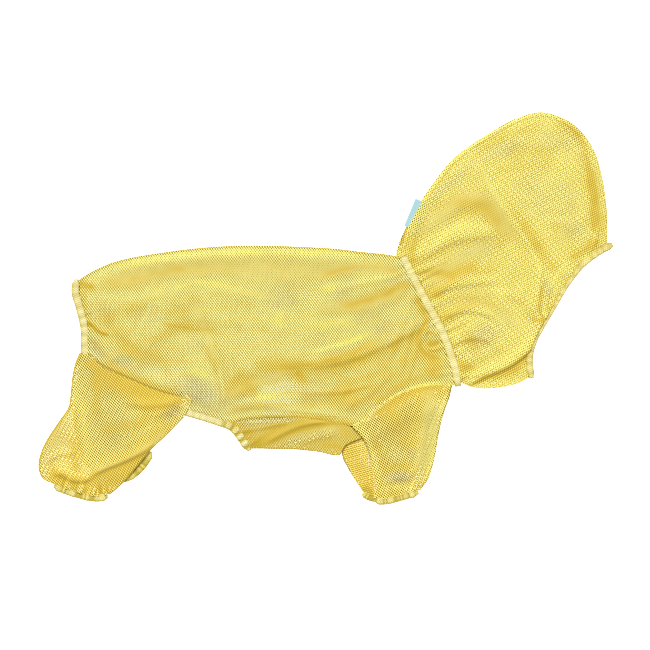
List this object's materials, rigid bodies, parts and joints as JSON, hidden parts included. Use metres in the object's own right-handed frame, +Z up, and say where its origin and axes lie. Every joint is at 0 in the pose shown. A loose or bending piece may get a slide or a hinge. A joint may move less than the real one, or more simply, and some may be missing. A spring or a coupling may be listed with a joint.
{
  "type": "dog mesh bug suit",
  "caption": "Dog's full-body mesh bug suit with legs, hood and elastic casings, laid flat on its left side.",
  "frame": {"origin": "on the surface the suit lies on, under the centre of its bounding box", "axes": "+X from tail to head, +Y from belly to back, +Z up from the surface; the suit lies on its left side"},
  "size_m": [0.6331, 0.4318, 0.0093],
  "materials": {
    "body_panel": "fine yellow polyester mesh",
    "chest_panel": "fine yellow polyester mesh",
    "hood_right": "fine yellow polyester mesh",
    "hood_left": "fine yellow polyester mesh",
    "front_sleeve_right": "fine yellow polyester mesh",
    "front_sleeve_left": "fine yellow polyester mesh",
    "hind_leg_right": "fine yellow polyester mesh",
    "hind_leg_left": "fine yellow polyester mesh",
    "neck_casing": "doubled mesh over elastic",
    "face_casing": "doubled mesh over elastic",
    "seat_casing": "doubled mesh over elastic",
    "front_cuff_right": "doubled mesh over elastic",
    "front_cuff_left": "doubled mesh over elastic",
    "hind_cuff_right": "doubled mesh over elastic",
    "hind_cuff_left": "doubled mesh over elastic",
    "side_tab": "pale blue woven satin tab",
    "care_label": "white woven care label"
  },
  "bodies": {
    "root": {"body_panel": "body_panel", "chest_panel": "chest_panel", "hood_right": "hood_right", "hood_left": "hood_left", "front_sleeve_right": "front_sleeve_right", "front_sleeve_left": "front_sleeve_left", "hind_leg_right": "hind_leg_right", "hind_leg_left": "hind_leg_left", "neck_casing": "neck_casing", "face_casing": "face_casing", "seat_casing": "seat_casing", "front_cuff_right": "front_cuff_right", "front_cuff_left": "front_cuff_left", "hind_cuff_right": "hind_cuff_right", "hind_cuff_left": "hind_cuff_left", "side_tab": "side_tab", "care_label": "care_label"}
  },
  "joints": []
}
